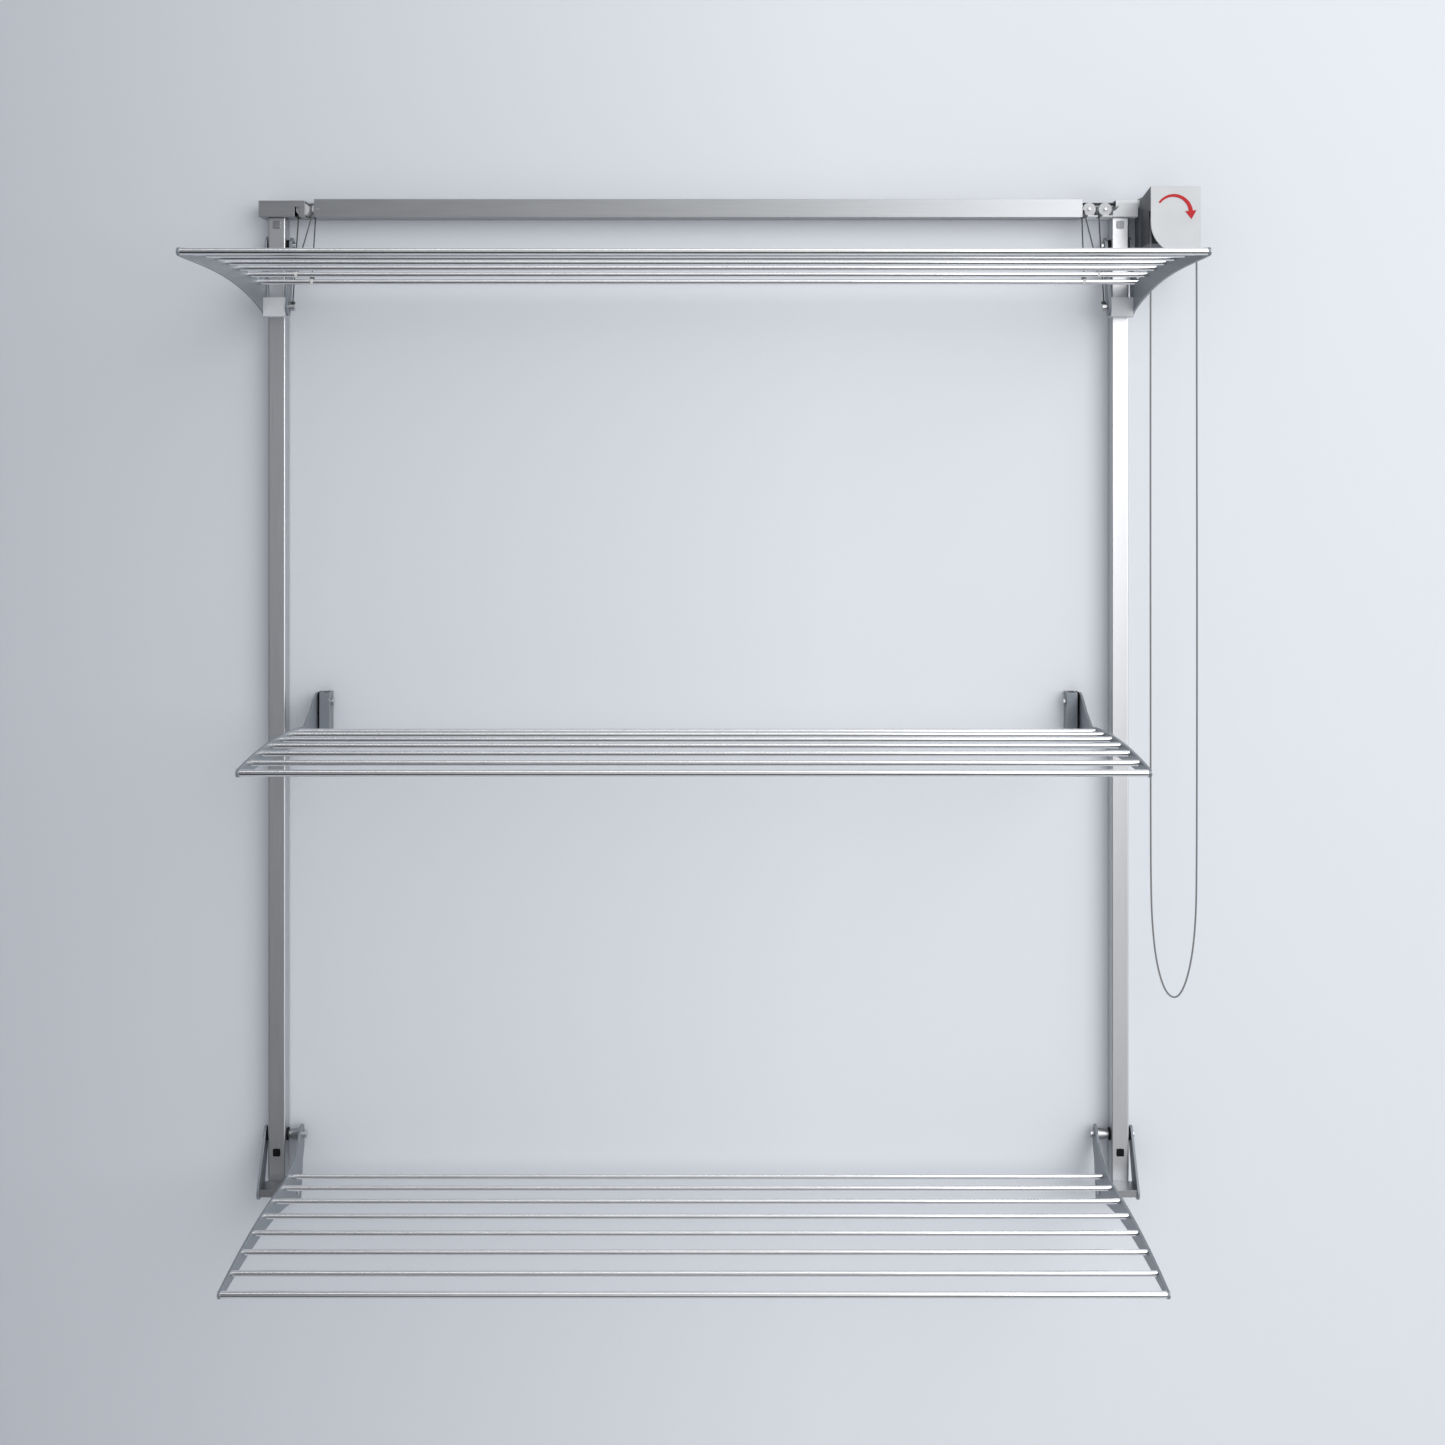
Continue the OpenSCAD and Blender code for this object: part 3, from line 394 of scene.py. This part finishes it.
def brushed_metal(name, colour, roughness, grain, depth=0.25, radius=0.0005):
    """Metal with fine parallel brushing. grain is the noise scale along each axis, and depth
    is how strong the brushing is."""
    material, tree, shader = new_material(name)
    shader.inputs["Metallic"].default_value = 1.0
    lines = object_noise(tree, grain, 1.0, 6.0)
    cloud = object_noise(tree, (9, 9, 9), 1.0, 3.0)
    darker = tuple(0.86 * c for c in colour)
    tint = mixed(tree, ranged(tree, lines, 0, 1), darker, colour)
    tint = mixed(tree, ranged(tree, cloud, 0, 0.35), tint, tuple(0.90 * c for c in colour))
    tree.links.new(tint, shader.inputs["Base Color"])
    tree.links.new(ranged(tree, lines, roughness - 0.2 * depth, roughness + 0.3 * depth),
                   shader.inputs["Roughness"])
    add_bump(tree, shader, lines, depth, 0.00006, radius)
    return material


def painted_metal(name, colour, roughness):
    """Satin paint with a faint orange peel, and a little wear on the edges."""
    material, tree, shader = new_material(name)
    shader.inputs["Metallic"].default_value = 0.35
    peel = object_noise(tree, (700, 700, 700), 1.0, 2.0)
    cloud = object_noise(tree, (14, 14, 14), 1.0, 4.0)
    scratches = object_noise(tree, (60, 900, 900), 1.0, 3.0)
    tint = mixed(tree, ranged(tree, cloud, 0, 1), tuple(0.88 * c for c in colour), colour)
    worn = mixed(tree, edge_mask(tree, 0.0005), tint, (0.52, 0.54, 0.57))
    tree.links.new(worn, shader.inputs["Base Color"])
    tree.links.new(ranged(tree, scratches, roughness - 0.05, roughness + 0.08),
                   shader.inputs["Roughness"])
    add_bump(tree, shader, peel, 0.2, 0.00008, 0.0004)
    return material


def moulded_plastic(name, colour, roughness, texture=900.0, dust=0.0, shine=0.5):
    """Moulded plastic with a fine spark texture and soft edges."""
    material, tree, shader = new_material(name)
    shader.inputs["Specular IOR Level"].default_value = shine
    grain = object_noise(tree, (texture, texture, texture), 1.0, 2.0)
    cloud = object_noise(tree, (22, 22, 22), 1.0, 4.0)
    varied = mixed(tree, ranged(tree, cloud, 0, 1), colour,
                   tuple(c * (1 - 0.07) + dust for c in colour))
    tree.links.new(varied, shader.inputs["Base Color"])
    tree.links.new(ranged(tree, cloud, roughness - 0.04, roughness + 0.06),
                   shader.inputs["Roughness"])
    add_bump(tree, shader, grain, 0.25, 0.00006, 0.0006)
    return material


def braided_cord(name, colour, pitch, carriers=3):
    """Braid from two sets of slanting strands, in the tube's own UVs."""
    material, tree, shader = new_material(name)
    shader.inputs["Roughness"].default_value = 0.8
    shader.inputs["Sheen Weight"].default_value = 0.25
    coords = tree.nodes.new("ShaderNodeUVMap")
    heights = []
    for slant in (1, -1):
        parts = tree.nodes.new("ShaderNodeSeparateXYZ")
        tree.links.new(coords.outputs["UV"], parts.inputs[0])
        turn = tree.nodes.new("ShaderNodeMath")
        turn.operation = "MULTIPLY"
        turn.inputs[1].default_value = slant * carriers * 2 * math.pi
        tree.links.new(parts.outputs["X"], turn.inputs[0])
        along = tree.nodes.new("ShaderNodeMath")
        along.operation = "MULTIPLY_ADD"
        along.inputs[1].default_value = 2 * math.pi / pitch
        tree.links.new(parts.outputs["Y"], along.inputs[0])
        tree.links.new(turn.outputs[0], along.inputs[2])
        wave = tree.nodes.new("ShaderNodeMath")
        wave.operation = "SINE"
        tree.links.new(along.outputs[0], wave.inputs[0])
        heights.append(wave.outputs[0])
    product = tree.nodes.new("ShaderNodeMath")
    product.operation = "MULTIPLY"
    tree.links.new(heights[0], product.inputs[0])
    tree.links.new(heights[1], product.inputs[1])
    # the colour is painted darker in the braid's grooves: painted shade where the strands dip
    tint = mixed(tree, ranged(tree, product.outputs[0], 0, 1, -1, 1),
                 tuple(0.62 * c for c in colour), colour)
    tree.links.new(tint, shader.inputs["Base Color"])
    add_bump(tree, shader, product.outputs[0], 0.6, 0.0002)
    return material


ALONG_X = (14, 2600, 2600)
ALONG_Z = (2600, 2600, 14)
ALUMINIUM = (0.60, 0.61, 0.63)
STEEL = (0.62, 0.62, 0.63)

looks = {
    "post": brushed_metal("anodised post", ALUMINIUM, 0.34, ALONG_Z),
    # the beam's aluminium is a darker copy of the posts' (painted shade), brushed along the beam;
    # the left end housing, crossbars and spacers share it
    "beam": brushed_metal("anodised beam", (0.41, 0.42, 0.435), 0.34, ALONG_X),
    "rod": brushed_metal("polished rod", (0.88, 0.89, 0.90), 0.11, (40, 700, 700), 0.05, 0.0003),
    "sheet": painted_metal("painted sheet", (0.25, 0.275, 0.305), 0.42),
    "steel": brushed_metal("plated steel", STEEL, 0.26, (500, 500, 500), 0.15, 0.0003),
    "white": moulded_plastic("light plastic", (0.68, 0.69, 0.70), 0.42),
    # a lighter copy of the light plastic: painted light on the right end housing and the cord
    # tube, which lie in the winder's shadow
    "painted_lit_white": moulded_plastic("bright plastic", (0.90, 0.91, 0.92), 0.38),
    "cap": brushed_metal("post screw cap", (0.33, 0.34, 0.36), 0.4, (600, 600, 600), 0.1),
    "dark": moulded_plastic("dark plastic", (0.006, 0.0063, 0.007), 0.55, dust=0.002, shine=0.15),
    "nylon": moulded_plastic("nylon", (0.74, 0.74, 0.70), 0.32, 400.0),
    "grey": moulded_plastic("grey plastic", (0.075, 0.078, 0.085), 0.5),
    "pull_cord": braided_cord("braided pull cord", (0.27, 0.27, 0.28), 0.004),
    "lift_cord": braided_cord("braided lift cord", (0.07, 0.07, 0.075), 0.003),
    "cord_run": moulded_plastic("cord in the beam", (0.07, 0.07, 0.075), 0.8, 1500.0),
    "red": moulded_plastic("red inlay", (0.56, 0.006, 0.012), 0.45, shine=0.3),
}
slot_looks = {
    "anodised_aluminium": "post", "polished_rod": "rod", "sheet_metal": "sheet",
    "bright_steel": "steel", "white_plastic": "white", "dark_plastic": "dark",
    "grey_plastic": "grey", "natural_nylon": "nylon", "cord": "cord_run", "red_inlay": "red",
}
node_looks = {
    "top_beam": "beam", "end_housing_left": "beam", "bottom_crossbars": "beam",
    "bottom_spacers": "beam", "cord_wrap": "pull_cord", "end_housing_right": "painted_lit_white",
    "cord_tube": "painted_lit_white", "upper_screw_caps": "cap",
}


def paint(obj, look):
    obj.data.materials.clear()
    obj.data.materials.append(looks[look])


for part in frame["record"]["subparts"]:
    name = part["node"]
    obj = bpy.data.objects.get(name)
    if obj is not None:
        paint(obj, node_looks.get(name, slot_looks[part["material_slot"]]))
paint(pull_cord, "pull_cord")
for obj in shelf_rivets:
    paint(obj, "steel")
for obj in [cord_knots] + strands:
    paint(obj, "lift_cord")


# ---------- stage and light ----------

def plane(name, corners, colour, roughness):
    obj = add_mesh(name, corners, [(0, 1, 2, 3)], smooth=False)
    material, tree, shader = new_material(name)
    shader.inputs["Base Color"].default_value = (*colour, 1)
    shader.inputs["Roughness"].default_value = roughness
    obj.data.materials.append(material)
    return material


FLOOR_Z = -1.8
WALL_GAP = 0.0006
plane("floor", [(-4, -1.6, FLOOR_Z), (4, -1.6, FLOOR_Z), (4, 4, FLOOR_Z), (-4, 4, FLOOR_Z)],
      (0.62, 0.63, 0.65), 0.7)
wall = plane("wall", [(-4, WALL_GAP, FLOOR_Z), (4, WALL_GAP, FLOOR_Z), (4, WALL_GAP, 3),
                      (-4, WALL_GAP, 3)], (0.85, 0.87, 0.91), 0.85)
# the wall's colour is painted darker towards the left, as painted shade for the light falling off
# from the right, and the wall is seen from the front only, so that the rack can be looked at from
# behind
tree = wall.node_tree
coords = tree.nodes.new("ShaderNodeTexCoord")
parts = tree.nodes.new("ShaderNodeSeparateXYZ")
tree.links.new(coords.outputs["Object"], parts.inputs[0])
# painted shade: the wall's colour runs from dark on the left to light on the right
painted_falloff = mixed(tree, ranged(tree, parts.outputs["X"], 0, 1, -1.0, 0.15),
              (0.53, 0.55, 0.59), (0.84, 0.86, 0.90))
tree.links.new(painted_falloff, tree.nodes["Principled BSDF"].inputs["Base Color"])
geometry = tree.nodes.new("ShaderNodeNewGeometry")
clear = tree.nodes.new("ShaderNodeBsdfTransparent")
either = tree.nodes.new("ShaderNodeMixShader")
output = tree.nodes["Material Output"]
tree.links.new(geometry.outputs["Backfacing"], either.inputs["Fac"])
tree.links.new(tree.nodes["Principled BSDF"].outputs[0], either.inputs[1])
tree.links.new(clear.outputs[0], either.inputs[2])
tree.links.new(either.outputs[0], output.inputs["Surface"])


def area_light(name, place, target, size, power, colour=(1, 1, 1)):
    data = bpy.data.lights.new(name, "AREA")
    data.shape = "RECTANGLE"
    data.size, data.size_y = size
    data.energy = power
    data.color = colour
    obj = bpy.data.objects.new(name, data)
    bpy.context.collection.objects.link(obj)
    obj.location = place
    obj.rotation_euler = (Vector(target) - Vector(place)).to_track_quat("-Z", "Y").to_euler()
    return obj


area_light("window", (2.2, -3.6, 1.4), (0, 0, 0), (3.4, 3.4), 82)
# seen in reflections only, so that it throws no light or shadow on the wall
overhead = area_light("overhead", (0.2, -1.9, 2.7), (0, -0.3, -0.3), (3.2, 0.5), 11)
overhead.visible_diffuse = False

# surroundings: brighter on the right and above, and plain where the camera sees them
world = bpy.data.worlds.new("world")
bpy.context.scene.world = world
world.use_nodes = True
tree = world.node_tree
background = tree.nodes["Background"]
coords = tree.nodes.new("ShaderNodeTexCoord")
parts = tree.nodes.new("ShaderNodeSeparateXYZ")
tree.links.new(coords.outputs["Generated"], parts.inputs[0])
sideways = ranged(tree, parts.outputs["X"], 0, 1, -0.25, 0.36)
upwards = ranged(tree, parts.outputs["Z"], 0.05, 1, -0.45, -0.22)
around = mixed(tree, sideways, (0.30, 0.31, 0.34), (2.4, 2.4, 2.4))
reflected = tree.nodes.new("ShaderNodeVectorMath")
reflected.operation = "SCALE"
tree.links.new(around, reflected.inputs[0])
tree.links.new(upwards, reflected.inputs["Scale"])
path = tree.nodes.new("ShaderNodeLightPath")
lit = mixed(tree, path.outputs["Is Glossy Ray"], (0.98, 1.0, 1.04), reflected.outputs[0])
seen = mixed(tree, path.outputs["Is Camera Ray"], lit, (0.80, 0.82, 0.86))
tree.links.new(seen, background.inputs["Color"])
background.inputs["Strength"].default_value = 0.60
bpy.context.scene.view_settings.view_transform = "Standard"
